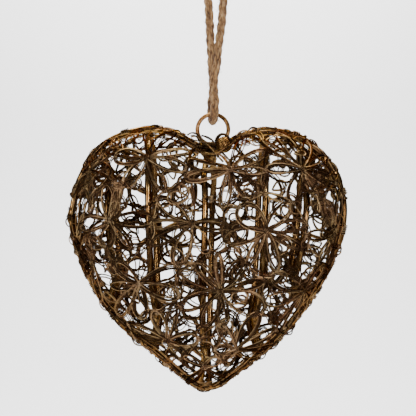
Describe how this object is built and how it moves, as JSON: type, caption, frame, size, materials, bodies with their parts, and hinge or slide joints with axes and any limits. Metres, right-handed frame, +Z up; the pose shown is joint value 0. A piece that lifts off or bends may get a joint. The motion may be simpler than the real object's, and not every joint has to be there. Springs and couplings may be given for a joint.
{
  "type": "wire heart ornament",
  "caption": "Puffed hanging heart of bronzed rods and wire flowers, open inside, with a ring and a jute rope loop",
  "frame": {"origin": "top of the inside of the rope loop, where a hook goes, with the heart hanging below it", "axes": "+Z up along the hanging rope, the heart's front faces -Y, +X to the right seen from the front"},
  "size_m": [0.1973, 0.07, 0.3284],
  "materials": {
    "rod": "antique bronze, satin, rubbed to gold on the rods' fronts",
    "net_wire": "antique bronze wire, satin, darker in the bundles",
    "ring": "copper brown, satin",
    "jute": "twisted natural jute, rough"
  },
  "bodies": {
    "root": {"back_flower_01": "net_wire", "back_flower_02": "net_wire", "back_flower_03": "net_wire", "back_flower_04": "net_wire", "back_flower_05": "net_wire", "back_flower_06": "net_wire", "back_flower_07": "net_wire", "back_flower_08": "net_wire", "back_flower_09": "net_wire", "back_flower_10": "net_wire", "back_flower_11": "net_wire", "back_flower_12": "net_wire", "back_flower_13": "net_wire", "back_flower_14": "net_wire", "back_rib_1": "rod", "back_rib_2": "rod", "back_rib_3": "rod", "back_rib_4": "rod", "back_rib_5": "rod", "front_flower_01": "net_wire", "front_flower_02": "net_wire", "front_flower_03": "net_wire", "front_flower_04": "net_wire", "front_flower_05": "net_wire", "front_flower_06": "net_wire", "front_flower_07": "net_wire", "front_flower_08": "net_wire", "front_flower_09": "net_wire", "front_flower_10": "net_wire", "front_flower_11": "net_wire", "front_flower_12": "net_wire", "front_flower_13": "net_wire", "front_flower_14": "net_wire", "front_flower_15": "net_wire", "front_rib_1": "rod", "front_rib_2": "rod", "front_rib_3": "rod", "front_rib_4": "rod", "front_rib_5": "rod", "hanging_ring": "ring", "hanging_rope": "jute", "heart_hoop": "rod", "rope_end_1": "jute", "rope_end_2": "jute", "rope_knot": "jute"}
  },
  "joints": []
}
